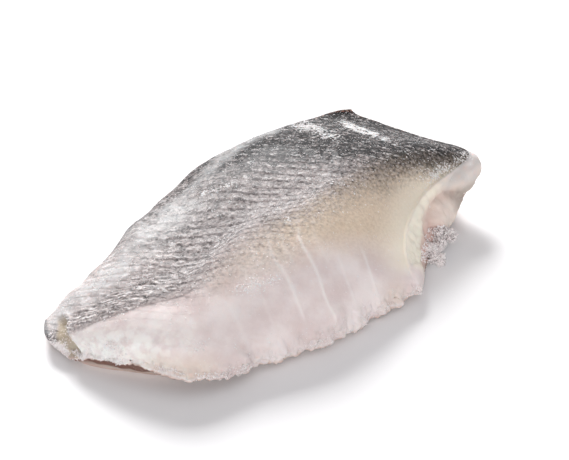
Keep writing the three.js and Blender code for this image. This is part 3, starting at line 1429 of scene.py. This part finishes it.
@dataclass
class Frost:
    """All the loose frost: flakes on the skin, crumbs along the cuts and the clump in the head cut.

    A ball of the clump is its middle in the part's frame and its radius, in millimetres. The chances
    of flakes are those on bare skin, on scales and on rime.
    """

    skin: IceGrains = field(default_factory=lambda: IceGrains(
        "skin_frost", 4200, 0.2, 0.55, Crystal.FLAKE, flatness=0.55, sunk=0.1, seed=21))
    edge: IceGrains = field(default_factory=lambda: IceGrains(
        "edge_frost", 2000, 0.2, 0.65, Crystal.CRUMB, flatness=0.8, sunk=0.45, seed=22))
    clump: IceGrains = field(default_factory=lambda: IceGrains(
        "ice_clump", 4200, 0.3, 0.95, Crystal.CRUMB, spread=0.45, sunk=0.5, seed=23))
    clump_balls: tuple = (
        (45.5, -13.8, 4.4, 2.4),
        (47.3, -15.8, 3.8, 1.9),
        (43.7, -15.6, 2.6, 2.0),
        (41.4, -17.2, 2.4, 1.4),
        (39.8, -16.8, 3.0, 1.2),
        (39.4, -18.4, 1.6, 1.3),
        (40.4, -20.2, 1.4, 1.2),
        (38.4, -19.8, 1.4, 1.2),
        (39.2, -21.6, 1.0, 1.0),
    )
    places_a_ball: int = 400
    recess_from: float = 0.4
    cloud_size: float = 5.0
    skin_chances: tuple = (0.03, 0.6, 4.0)
    skin_clouds: Share = (0.55, 0.05)
    belly_from: Share = (0.025, 0.0)
    belly_height: Share = (0.1, 0.5)
    belly_more: float = 1.5
    belly_more_from: Share = (0.42, 0.2)
    tail_from: Share = (0.04, 0.0)
    tail_height: Share = (0.6, 0.1)
    tail_more: float = 1.5
    fringe_share: float = 0.8
    edge_clouds: tuple = (0.4, 1.5, 0.03, 1.5)

    def layers(self, fillet: Fillet) -> Iterator[tuple[IceGrains, Array, Array, Array]]:
        """Says where each kind of frost lies.

        Args:
            fillet: The fillet, built.

        Returns:
            Each kind of grains with its places, which way is out there and the chance of each place.
        """
        at, masks = fillet.surface, fillet.masks
        cloud = at.rough(self.cloud_size, shift=11.0)
        yield self.skin, fillet.points, at.normals, self._on_skin(at, masks, cloud)
        yield self.edge, fillet.points, at.normals, self._on_edges(at, masks, cloud)
        places, outward = self._clump_places()
        recess = masks["blood"] > self.recess_from
        places = np.concatenate([places, fillet.points[recess]])
        outward = np.concatenate([outward, at.normals[recess]])
        yield self.clump, places, outward, places[:, 2].clip(0.0, 1.0)

    def _on_skin(self, at: Surface, masks: dict[str, Array], cloud: Array) -> Array:
        """Spreads the flakes over the skin: few on the belly, more on scales and most on rime.

        Args:
            at: The surface.
            masks: The fillet's masks.
            cloud: Rough lumps that gather the grains.

        Returns:
            The chance of a flake at each point.
        """
        bare, scaled, rime = self.skin_chances
        mean, least = self.skin_clouds
        chance = (at.w == 1.0) * (bare + scaled * masks["scaled"] + rime * masks["rime"])
        return chance * np.clip(mean + cloud, least, None)

    def _on_edges(self, at: Surface, masks: dict[str, Array], cloud: Array) -> Array:
        """Spreads the crumbs along the belly's edge, the tail and the fringe of the head cut.

        Args:
            at: The surface.
            masks: The fillet's masks.
            cloud: Rough lumps that gather the grains.

        Returns:
            The chance of a crumb at each point.
        """
        belly = smoothstep(at.v, *self.belly_from) * smoothstep(at.w, *self.belly_height)
        tail = smoothstep(at.u, *self.tail_from) * smoothstep(at.v, *self.tail_height)
        more = 1.0 + self.belly_more * smoothstep(at.u, *self.belly_more_from)
        near = np.maximum(belly * more, self.tail_more * tail)
        near = np.maximum(near, self.fringe_share * masks["fringe"])
        mean, swing, least, bend = self.edge_clouds
        return near * np.clip(mean + swing * cloud, least, None) ** bend

    def _clump_places(self) -> tuple[Array, Array]:
        """Fills the clump's balls.

        Returns:
            Places in the balls, and which way is out of the ball there.
        """
        rng = np.random.default_rng(self.clump.seed)
        places, outward = [], []
        for x, y, z, radius in self.clump_balls:
            out = rng.normal(size=(self.places_a_ball, 3))
            out /= np.linalg.norm(out, axis=1, keepdims=True)
            depth = rng.random((self.places_a_ball, 1)) ** (1.0 / 3.0)
            places.append((x, y, z) + out * depth * radius)
            outward.append(out)
        return np.concatenate(places), np.concatenate(outward)


class Wiring:
    """Puts shader nodes into a tree and links them."""

    def __init__(self, tree: bpy.types.NodeTree) -> None:
        """Starts on one tree."""
        self.tree = tree

    def node(self, kind: str, feeds: dict[Union[str, int], Feed], **settings: object) -> bpy.types.Node:
        """Adds a node.

        Args:
            kind: The node's type.
            feeds: What goes into its inputs, by name or number.
            **settings: Its other settings.

        Returns:
            The node.
        """
        node = self.tree.nodes.new(kind)
        for name, value in settings.items():
            setattr(node, name, value)
        for key, feed in feeds.items():
            if isinstance(feed, bpy.types.NodeSocket):
                self.tree.links.new(feed, node.inputs[key])
            else:
                node.inputs[key].default_value = feed
        return node

    def math(self, operation: str, *values: Feed) -> bpy.types.NodeSocket:
        """Works out a number from one to three numbers."""
        return self.node("ShaderNodeMath", dict(enumerate(values)), operation=operation).outputs[0]

    def add(self, *values: Feed) -> bpy.types.NodeSocket:
        """Adds numbers up.

        Args:
            *values: Two numbers or more.

        Returns:
            Their sum.
        """
        total = values[0]
        for value in values[1:]:
            total = self.math("ADD", total, value)
        return total

    def times(self, *values: Feed) -> bpy.types.NodeSocket:
        """Multiplies numbers.

        Args:
            *values: Two numbers or more.

        Returns:
            Their product.
        """
        total = values[0]
        for value in values[1:]:
            total = self.math("MULTIPLY", total, value)
        return total

    def step(
        self, value: Feed, low: float, high: float, to_low: float = 0.0, to_high: float = 1.0,
    ) -> bpy.types.NodeSocket:
        """Goes smoothly from to_low to to_high as value goes from low to high."""
        feeds = {"Value": value, "From Min": low, "From Max": high, "To Min": to_low, "To Max": to_high}
        return self.node("ShaderNodeMapRange", feeds, interpolation_type="SMOOTHSTEP").outputs[0]

    def mix(self, share: Feed, low: Feed, high: Feed) -> bpy.types.NodeSocket:
        """Mixes two colours."""
        feeds = {0: share, 6: low, 7: high}
        return self.node("ShaderNodeMix", feeds, data_type="RGBA", clamp_result=True).outputs[2]

    def mask(self, name: str) -> bpy.types.NodeSocket:
        """Reads one of the mesh's masks."""
        return self.node("ShaderNodeAttribute", {}, attribute_name=name).outputs["Fac"]

    def wash(self, tone: Feed, name: str, tint: Tint, strength: Feed) -> bpy.types.NodeSocket:
        """Lays a screen colour over a tone, as much as a mask times a strength says."""
        return self.mix(self.times(self.mask(name), strength), tone, linear(tint))

    def stray(self, noise: Feed, reach: Feed) -> bpy.types.NodeSocket:
        """Turns noise about 0.5 into a number about 0, of up to half of reach either way."""
        return self.times(self.add(noise, -0.5), reach)

    def place(self) -> bpy.types.NodeSocket:
        """Gives the place on the piece in millimetres.

        Returns:
            The place, from the piece's own origin.
        """
        here = self.node("ShaderNodeTexCoord", {}).outputs["Object"]
        feeds = {0: here, "Scale": 1.0 / MM}
        return self.node("ShaderNodeVectorMath", feeds, operation="SCALE").outputs[0]

    def shaken(self, vector: Feed, place: Feed, size: float, reach: float) -> bpy.types.NodeSocket:
        """Moves a vector about at random.

        Args:
            vector: What is moved.
            place: The place on the piece, in millimetres.
            size: How far apart the lumps of the movement are, in millimetres.
            reach: About twice how far the vector goes either way.

        Returns:
            The moved vector.
        """
        feeds = {"Vector": place, "Scale": 1.0 / size, "Detail": 1.0}
        drift = self.node("ShaderNodeTexNoise", feeds).outputs["Color"]
        feeds = {0: drift, 1: (reach,) * 3, 2: (-reach / 2.0,) * 3}
        drift = self.node("ShaderNodeVectorMath", feeds, operation="MULTIPLY_ADD").outputs[0]
        return self.node("ShaderNodeVectorMath", {0: vector, 1: drift}, operation="ADD").outputs[0]

    def noise(
        self, place: Feed, size: float, detail: float = 2.0, stretch: Sequence[float] = (1, 1, 1),
    ) -> bpy.types.NodeSocket:
        """Gives cloudy noise, about 0.5.

        Args:
            place: Where it is read.
            size: How far apart its lumps are, in the unit of place.
            detail: How many finer layers it has.
            stretch: How much longer its lumps are along each axis.

        Returns:
            The noise.
        """
        feeds = {0: place, 1: tuple(1.0 / share for share in stretch)}
        scaled = self.node("ShaderNodeVectorMath", feeds, operation="MULTIPLY")
        feeds = {"Vector": scaled.outputs[0], "Scale": 1.0 / size, "Detail": detail, "Roughness": 0.55}
        return self.node("ShaderNodeTexNoise", feeds).outputs["Fac"]


def ice_grain_group() -> bpy.types.NodeTree:
    """Builds the effect of fine ice grains, which the skin and the loose frost share.

    Returns:
        A node group that takes a place in millimetres, the grains' size and how much they cover, and
        gives a mask of the frost and the height of its grains.
    """
    tree = bpy.data.node_groups.new("Ice grain", "ShaderNodeTree")
    inputs = {"Place": "NodeSocketVector", "Size": "NodeSocketFloat", "Cover": "NodeSocketFloat"}
    for name, kind in inputs.items():
        tree.interface.new_socket(name, in_out="INPUT", socket_type=kind)
    for name in ("Frost", "Height"):
        tree.interface.new_socket(name, in_out="OUTPUT", socket_type="NodeSocketFloat")
    wire = Wiring(tree)
    given = wire.node("NodeGroupInput", {}).outputs
    inverse = wire.math("DIVIDE", 1.0, given["Size"])
    feeds = {0: given["Place"], "Scale": inverse}
    scaled = wire.node("ShaderNodeVectorMath", feeds, operation="SCALE").outputs[0]
    cells = wire.node("ShaderNodeTexVoronoi", {"Vector": scaled, "Scale": 1.0, "Randomness": 1.0})
    cloud = wire.noise(scaled, size=3.5, detail=4.0)
    apart = wire.math("SUBTRACT", 0.5, cells.outputs["Distance"])
    reached = wire.add(given["Cover"], wire.stray(cloud, 1.3), wire.times(apart, 0.9))
    frost = wire.step(reached, 0.3, 0.62)
    height = wire.times(frost, wire.math("SUBTRACT", 1.0, cells.outputs["Distance"]))
    wire.node("NodeGroupOutput", {"Frost": frost, "Height": height})
    return tree


def blank_material(name: str) -> bpy.types.Material:
    """Starts a material that has no nodes yet.

    Args:
        name: What the finish is called.

    Returns:
        The material.
    """
    material = bpy.data.materials.new(name)
    material.use_nodes = True
    material.node_tree.nodes.clear()
    return material


@dataclass(frozen=True)
class FilletFinish:
    """Icy skin, belly and cut flesh. Colours are as a screen shows them.

    A wash is a colour that is laid over others, and how strongly. The bump heights are those of the
    scales, the frost, the ripples and the fine grain, in millimetres.
    """

    name: str = "icy fish skin and flesh"
    belly_pale: Tint = (242, 232, 230)
    belly_pink: Tint = (226, 211, 209)
    line: Wash = ((253, 248, 245), 0.6)
    beige: Tint = (226, 208, 187)
    beige_dark: Tint = (215, 196, 175)
    skin_light: Tint = (218, 207, 205)
    skin_dark: Tint = (40, 40, 41)
    # Painted shade: dark dashes in the gaps between the scales.
    painted_gap_shade: Tint = (84, 77, 78)
    # Painted highlight and frost: pale crests on the scales, and the pale frosty streaks near the tail.
    crest_highlight_and_frost: Tint = (240, 236, 235)
    # Painted shade: a darker line in the crease where the grey skin starts near the tail.
    crease_shade: Wash = ((134, 122, 120), 0.6)
    outline: Wash = ((92, 93, 96), 0.8)
    icy: Tint = (254, 251, 247)
    # Painted sheen and ice: a pale milky wash along the back, the tail and the top lobe's frosted edge.
    glaze_and_sheen: Tint = (215, 215, 215)
    cut: Tint = (240, 226, 216)
    cut_darker: Tint = (224, 198, 188)
    seam: Wash = ((234, 226, 216), 1.0)
    # Painted shade: dark brown on the raised underside, for the shadow in the gap under the lifted
    # belly flap.
    raised: Wash = ((116, 80, 68), 0.9)
    clear: Wash = ((158, 149, 141), 0.7)
    fat: Wash = ((255, 246, 229), 1.0)
    cream: Wash = ((255, 246, 229), 0.8)
    blood: Wash = ((222, 186, 178), 0.6)
    # Beige in the belly's hollows: clear thin flesh, and painted shade of the dents.
    hollow: Wash = ((216, 196, 174), 0.4)
    groove: Wash = ((190, 176, 154), 0.85)
    rime: Tint = (244, 244, 244)
    rime_strength: float = 0.72
    grain_size: float = 0.7
    cover: Share = (0.5, 0.05)
    bump_heights: tuple = (0.05, 0.12, 0.06, 0.03)
    bump_strength: float = 0.8
    subsurface: float = 0.25
    subsurface_radius: tuple = (1.0, 0.62, 0.5)
    subsurface_depth: float = 3.0 * MM
    coat_roughness: float = 0.12
    specular: float = 0.12
    ior: float = 1.38

    def material(self, ice_grain: bpy.types.NodeTree) -> bpy.types.Material:
        """Builds the finish.

        Args:
            ice_grain: The effect of fine ice grains.

        Returns:
            The material.
        """
        material = blank_material(self.name)
        wire = Wiring(material.node_tree)
        place = wire.place()
        tone, lap = self._skin(wire, place)
        grey = wire.mask("grey")
        fading = wire.times(grey, wire.math("SUBTRACT", 1.0, grey), 4.0)
        frayed = wire.stray(wire.noise(place, size=0.9, detail=3.0), 1.4)
        grey = wire.add(grey, wire.times(fading, frayed))
        tone = wire.mix(grey, self._flesh(wire, place), tone)
        tone = wire.wash(tone, "outline", *self.outline)
        # Painted shade in the crease at the grey skin's edge.
        tone = wire.wash(tone, "crease_shade", *self.crease_shade)
        tone = wire.wash(tone, "cream", *self.cream)
        tone = wire.mix(wire.mask("cut"), tone, self._cut_flesh(wire, place))
        milky_and_sheen = wire.step(wire.noise(place, size=3.0, detail=4.0), 0.3, 0.6, to_low=0.35, to_high=0.9)
        # Painted sheen with the ice film: a milky pale wash along the back and the tail.
        tone = wire.wash(tone, "glaze_and_sheen", self.glaze_and_sheen, milky_and_sheen)
        # Beige in the hollows: partly thin flesh, partly painted shade of the dents.
        tone = wire.wash(tone, "hollow", *self.hollow)
        tone = wire.wash(tone, "groove", *self.groove)
        on_rime, on_scales = self.cover
        cover = wire.add(
            wire.times(wire.mask("rime"), on_rime), wire.times(wire.mask("scaled"), on_scales),
        )
        feeds = {"Place": place, "Size": self.grain_size, "Cover": cover}
        grain = wire.node("ShaderNodeGroup", feeds, node_tree=ice_grain)
        frost = grain.outputs["Frost"]
        tone = wire.mix(wire.times(frost, self.rime_strength), tone, linear(self.rime))
        ripple = wire.noise(place, size=1.1, detail=3.0)
        rough = wire.add(wire.times(frost, 0.3), wire.step(ripple, 0.3, 0.7, to_low=0.6, to_high=0.8))
        bumps = (lap, grain.outputs["Height"], ripple, wire.noise(place, size=0.45))
        relief = wire.add(*map(wire.times, bumps, self.bump_heights))
        feeds = {"Height": relief, "Distance": MM, "Strength": self.bump_strength}
        bump = wire.node("ShaderNodeBump", feeds)
        shader = wire.node("ShaderNodeBsdfPrincipled", {
            "Base Color": tone,
            "Roughness": rough,
            "Normal": bump.outputs[0],
            "IOR": self.ior,
            "Subsurface Weight": self.subsurface,
            "Subsurface Radius": self.subsurface_radius,
            "Subsurface Scale": self.subsurface_depth,
            "Coat Weight": wire.step(frost, 0.0, 0.6, to_low=0.04, to_high=0.0),
            "Coat Roughness": self.coat_roughness,
            "Specular IOR Level": self.specular,
        })
        wire.node("ShaderNodeOutputMaterial", {"Surface": shader.outputs[0]})
        return material

    def _flesh(self, wire: Wiring, place: Feed) -> bpy.types.NodeSocket:
        """Colours the belly, its muscle lines and the beige above them.

        Args:
            wire: The material's nodes.
            place: The place on the piece, in millimetres.

        Returns:
            The colour.
        """
        cloud = wire.step(wire.noise(place, size=11.0, detail=6.0), 0.35, 0.65)
        tone = wire.mix(cloud, linear(self.belly_pink), linear(self.belly_pale))
        speckle = wire.step(wire.noise(place, size=0.8, detail=4.0), 0.4, 0.62)
        beige = wire.mix(speckle, linear(self.beige), linear(self.beige_dark))
        tone = wire.mix(wire.mask("beige"), tone, beige)
        broken = wire.step(wire.noise(place, size=2.4, detail=5.0), 0.36, 0.6, to_low=0.25, to_high=1.0)
        tone = wire.wash(tone, "icy", self.icy, broken)
        return wire.wash(tone, "line", *self.line)

    def _skin(self, wire: Wiring, place: Feed) -> tuple[bpy.types.NodeSocket, bpy.types.NodeSocket]:
        """Colours the scaled skin, with painted shade in the gaps between scales and painted highlights
        on their crests.

        Args:
            wire: The material's nodes.
            place: The place on the piece, in millimetres.

        Returns:
            The colour, and the height of the scales for the bump.
        """
        counts = wire.node("ShaderNodeUVMap", {}, uv_map="scales").outputs[0]
        counts = wire.shaken(counts, place, size=1.7, reach=0.5)
        part = wire.node("ShaderNodeVectorMath", {0: counts}, operation="FRACTION").outputs[0]
        whole = wire.node("ShaderNodeVectorMath", {0: counts}, operation="FLOOR").outputs[0]
        a, b, _ = wire.node("ShaderNodeSeparateXYZ", {0: part}).outputs
        drawn = wire.node("ShaderNodeTexWhiteNoise", {"Vector": whole}, noise_dimensions="3D")
        each = drawn.outputs["Value"]
        slope = wire.math("SUBTRACT", 1.0, wire.times(wire.add(a, b), 0.5))
        lap = wire.times(wire.step(wire.math("MINIMUM", a, b), 0.0, 0.2), slope)
        along = wire.times(wire.step(b, 0.0, 0.3), wire.step(b, 1.0, 0.6))
        # Painted shade: dark dashes along the tail-side edges of the scales, and faint lines along
        # their sides.
        dash = wire.times(wire.step(a, 0.26, 0.06), along)
        painted_gap_shade = wire.math("MAXIMUM", dash, wire.times(wire.step(b, 0.2, 0.02), 0.25))
        crest_highlight_and_frost = wire.times(wire.step(a, 0.28, 0.42), wire.step(a, 0.75, 0.5), along)
        streaky, plain = wire.mask("streaky"), wire.mask("plain")
        streak = wire.noise(counts, size=1.0, detail=3.0, stretch=(0.32, 1.15, 1.0))
        streak_reach = wire.step(streaky, 0.0, 1.0, to_low=0.7, to_high=1.35)
        speck_reach = wire.step(plain, 0.0, 1.0, to_low=1.4, to_high=1.1)
        dark = wire.add(
            wire.mask("dark"),
            wire.stray(each, 0.12),
            wire.stray(wire.noise(place, size=3.2, detail=2.0), 0.3),
            wire.stray(streak, streak_reach),
            wire.stray(wire.noise(place, size=0.8, detail=4.0), speck_reach),
        )
        tone = wire.mix(dark, linear(self.skin_light), linear(self.skin_dark))
        patchy = wire.add(wire.noise(place, size=1.5), wire.times(each, 0.2))
        in_rows = wire.math("SUBTRACT", 1.0, wire.times(streaky, 0.65))
        broken = wire.step(wire.noise(place, size=0.7, detail=3.0), 0.42, 0.56)
        # Painted highlights on the scales' crests, partly frost, joined by the pale frosty streaks near
        # the tail.
        highlight_and_frost = wire.times(crest_highlight_and_frost, broken, wire.step(patchy, 0.7, 0.5), in_rows, 0.5)
        pale_streak = wire.times(wire.step(streak, 0.45, 0.36), streaky, 0.7)
        highlight_and_frost = wire.math("MAXIMUM", highlight_and_frost, pale_streak)
        tone = wire.mix(highlight_and_frost, tone, linear(self.crest_highlight_and_frost))
        shown = wire.times(wire.step(plain, 0.0, 1.0, to_low=0.25, to_high=0.95), in_rows)
        painted_gap_shade = wire.times(painted_gap_shade, wire.step(patchy, 0.42, 0.6), shown)
        return wire.mix(painted_gap_shade, tone, linear(self.painted_gap_shade)), lap

    def _cut_flesh(self, wire: Wiring, place: Feed) -> bpy.types.NodeSocket:
        """Colours the cut flesh, its fat, blood line and seams, with painted shade between the lobes of
        the head cut and dark brown painted shade on the raised underside.

        Args:
            wire: The material's nodes.
            place: The place on the piece, in millimetres.

        Returns:
            The colour.
        """
        # Painted shade: the head cut is lighter where its lobes swell and darker between them.
        lobe = wire.add(wire.mask("lobe"), wire.stray(wire.noise(place, size=2.6, detail=4.0), 0.5))
        tone = wire.mix(lobe, linear(self.cut_darker), linear(self.cut))
        tone = wire.wash(tone, "clear", *self.clear)
        tone = wire.wash(tone, "fat", *self.fat)
        tone = wire.wash(tone, "blood", *self.blood)
        # Painted shade: dark brown where the underside is raised, for the shadow under the flap.
        tone = wire.wash(tone, "raised", *self.raised)
        return wire.wash(tone, "seam", *self.seam)


@dataclass(frozen=True)
class FrostFinish:
    """Loose frost: milky ice grains."""

    name: str = "milky ice grains"
    milk: Tint = (255, 251, 250)
    clear: Tint = (250, 240, 240)
    grain_size: float = 0.35
    cover: float = 0.55
    bump_depth: float = 0.1 * MM
    bump_strength: float = 0.6
    ior: float = 1.31

    def material(self, ice_grain: bpy.types.NodeTree) -> bpy.types.Material:
        """Builds the finish.

        Args:
            ice_grain: The effect of fine ice grains.

        Returns:
            The material.
        """
        material = blank_material(self.name)
        wire = Wiring(material.node_tree)
        feeds = {"Place": wire.place(), "Size": self.grain_size, "Cover": self.cover}
        grain = wire.node("ShaderNodeGroup", feeds, node_tree=ice_grain)
        frost, height = grain.outputs["Frost"], grain.outputs["Height"]
        feeds = {"Height": height, "Distance": self.bump_depth, "Strength": self.bump_strength}
        bump = wire.node("ShaderNodeBump", feeds)
        shader = wire.node("ShaderNodeBsdfPrincipled", {
            "Base Color": wire.mix(frost, linear(self.clear), linear(self.milk)),
            "Roughness": wire.step(frost, 0.0, 1.0, to_low=0.18, to_high=0.5),
            "Normal": bump.outputs[0],
            "IOR": self.ior,
        })
        wire.node("ShaderNodeOutputMaterial", {"Surface": shader.outputs[0]})
        return material


@dataclass
class Studio:
    """The plain white table, soft light and the camera. Places are in millimetres.

    A lamp is its name, its heading in plan, its rise in degrees, how far away it is, its width and
    height, and its power in watts.
    """

    floor_half: float = 3000.0
    floor_tint: Tint = (250, 250, 251)
    floor_roughness: float = 0.9
    floor_specular: float = 0.1
    world_tint: tuple = (1.0, 0.967, 0.99, 1.0)
    sky_strength: Share = (0.06, 0.42)
    sky_rise: Share = (0.05, 0.75)
    aim: tuple = (3.5, 2.55, 12.0)
    camera_away: float = 484.72
    camera_turn: float = -34.97
    camera_rise: float = 31.94
    lens: float = 112.48
    sensor: float = 36.0
    lamps: tuple = (
        ("key", (0.38, 0.925), 31.0, 2700.0, 1000.0, 930.0, 111.0),
        ("fill", (-0.48, -0.877), 28.0, 2000.0, 1200.0, 600.0, 17.0),
    )

    def build(self) -> None:
        """Builds the table, the light and the camera."""
        self._floor()
        self._light()
        self._camera()
        bpy.context.scene.view_settings.view_transform = "Standard"

    def _floor(self) -> None:
        """Lays the table."""
        corners = self.floor_half * np.array([(-1, -1, 0), (1, -1, 0), (1, 1, 0), (-1, 1, 0)])
        floor = new_piece("table", corners, [(0, 1, 2, 3)])
        material = bpy.data.materials.new("matt white table")
        material.use_nodes = True
        shader = material.node_tree.nodes["Principled BSDF"]
        shader.inputs["Base Color"].default_value = linear(self.floor_tint)
        shader.inputs["Roughness"].default_value = self.floor_roughness
        shader.inputs["Specular IOR Level"].default_value = self.floor_specular
        floor.data.materials.append(material)

    def _light(self) -> None:
        """Lights the table from all round, and from the lamps."""
        world = bpy.data.worlds.new("white room")
        world.use_nodes = True
        wire = Wiring(world.node_tree)
        towards = wire.node("ShaderNodeTexCoord", {}).outputs["Generated"]
        rise = wire.node("ShaderNodeSeparateXYZ", {0: towards}).outputs["Z"]
        background = world.node_tree.nodes["Background"]
        background.inputs["Color"].default_value = self.world_tint
        strength = wire.step(rise, *self.sky_rise, *self.sky_strength)
        world.node_tree.links.new(strength, background.inputs["Strength"])
        bpy.context.scene.world = world
        for name, heading, rise, away, width, height, power in self.lamps:
            lamp = bpy.data.lights.new(name, "AREA")
            lamp.shape = "RECTANGLE"
            lamp.size, lamp.size_y = width * MM, height * MM
            lamp.energy = power
            flat = Vector((*heading, 0.0)).normalized() * math.cos(math.radians(rise))
            towards = flat + Vector((0.0, 0.0, math.sin(math.radians(rise))))
            holder = bpy.data.objects.new(name, lamp)
            holder.location = towards * away * MM
            holder.rotation_euler = towards.to_track_quat("Z", "Y").to_euler()
            bpy.context.scene.collection.objects.link(holder)

    def _camera(self) -> None:
        """Sets the camera."""
        camera = bpy.data.cameras.new("camera")
        camera.lens = self.lens
        camera.sensor_width = self.sensor
        turn, rise = math.radians(self.camera_turn), math.radians(self.camera_rise)
        flat = math.cos(rise)
        towards = Vector((math.sin(turn) * flat, -math.cos(turn) * flat, math.sin(rise)))
        holder = bpy.data.objects.new("camera", camera)
        holder.location = (Vector(self.aim) + towards * self.camera_away) * MM
        holder.rotation_euler = towards.to_track_quat("Z", "Y").to_euler()
        bpy.context.scene.collection.objects.link(holder)
        bpy.context.scene.camera = holder


def main() -> None:
    """Builds the fillet, its frost and the studio."""
    logging.basicConfig(level=logging.INFO, format="%(name)s: %(message)s")
    ice_grain = ice_grain_group()
    fillet = Fillet()
    body = fillet.build()
    fillet.dress(body, FilletFinish().material(ice_grain))
    log.info("%s: %d faces", body.name, len(body.data.polygons))
    frost_finish = FrostFinish().material(ice_grain)
    for grains, places, outward, chance in Frost().layers(fillet):
        piece = grains.build(places, outward, chance)
        grains.dress(piece, frost_finish)
        log.info("%s: %d grains", piece.name, grains.count)
    Studio().build()


if __name__ == "__main__":
    main()
